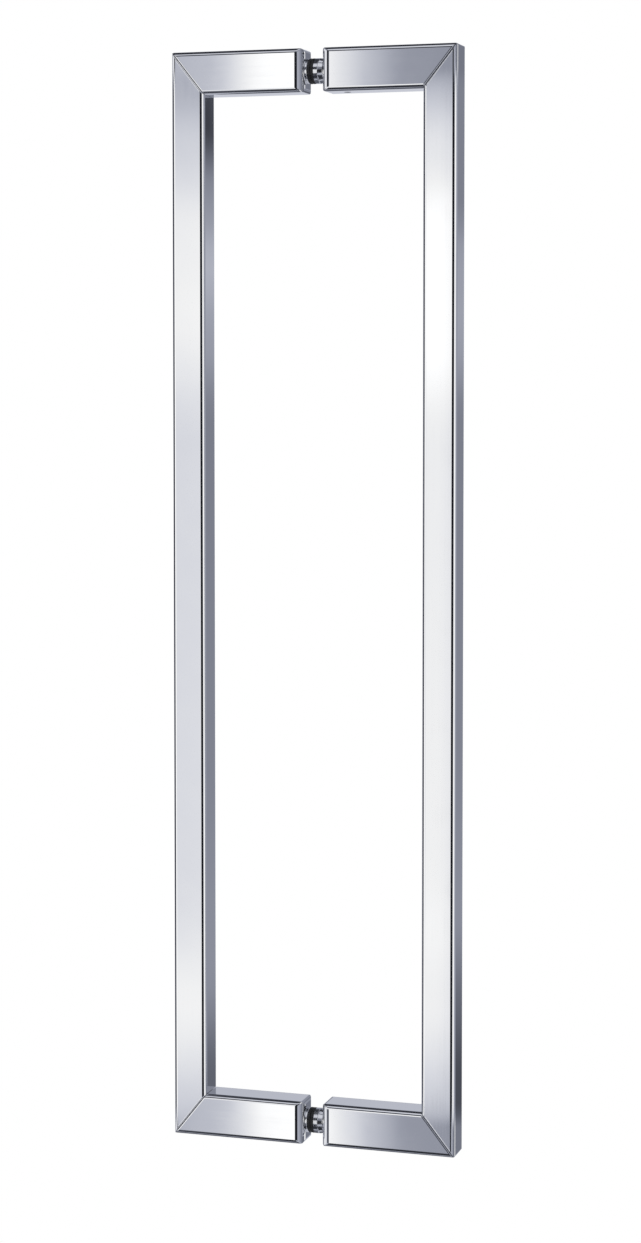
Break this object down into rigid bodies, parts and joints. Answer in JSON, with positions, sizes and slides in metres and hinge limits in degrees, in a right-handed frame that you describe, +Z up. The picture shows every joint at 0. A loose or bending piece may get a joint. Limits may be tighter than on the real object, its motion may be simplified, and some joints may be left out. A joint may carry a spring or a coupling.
{
  "type": "back-to-back door pull handle",
  "caption": "Pair of mitred square-tube chrome door pulls, joined back to back through a glass door by threaded studs.",
  "frame": {"origin": "centre of the pair: half-way between the outer faces of the two grips, half-way up and half-way through the tubes' depth", "axes": "+X goes through the door from the left handle to the right one, +Z is up along the grips, and the front faces look towards -Y"},
  "size_m": [0.1708, 0.02, 0.635],
  "materials": {
    "polished_chrome": "mirror-polished chrome plate",
    "black_rubber": "smooth moulded rubber",
    "clear_nylon": "natural nylon",
    "stud_steel": "zinc-plated steel thread",
    "black_screw": "black oxide steel"
  },
  "bodies": {
    "root": {"left_grip": "polished_chrome", "left_lower_arm": "polished_chrome", "left_lower_plug": "polished_chrome", "left_upper_arm": "polished_chrome", "left_upper_plug": "polished_chrome", "lower_collar": "polished_chrome", "lower_left_gasket": "black_rubber", "lower_right_gasket": "black_rubber", "lower_ring": "polished_chrome", "lower_set_screw": "black_screw", "lower_sleeve": "clear_nylon", "lower_stud": "stud_steel", "lower_washer": "polished_chrome", "right_grip": "polished_chrome", "right_lower_arm": "polished_chrome", "right_lower_plug": "polished_chrome", "right_upper_arm": "polished_chrome", "right_upper_plug": "polished_chrome", "upper_collar": "polished_chrome", "upper_left_gasket": "black_rubber", "upper_right_gasket": "black_rubber", "upper_ring": "polished_chrome", "upper_set_screw": "black_screw", "upper_sleeve": "clear_nylon", "upper_stud": "stud_steel", "upper_washer": "polished_chrome"}
  },
  "joints": []
}
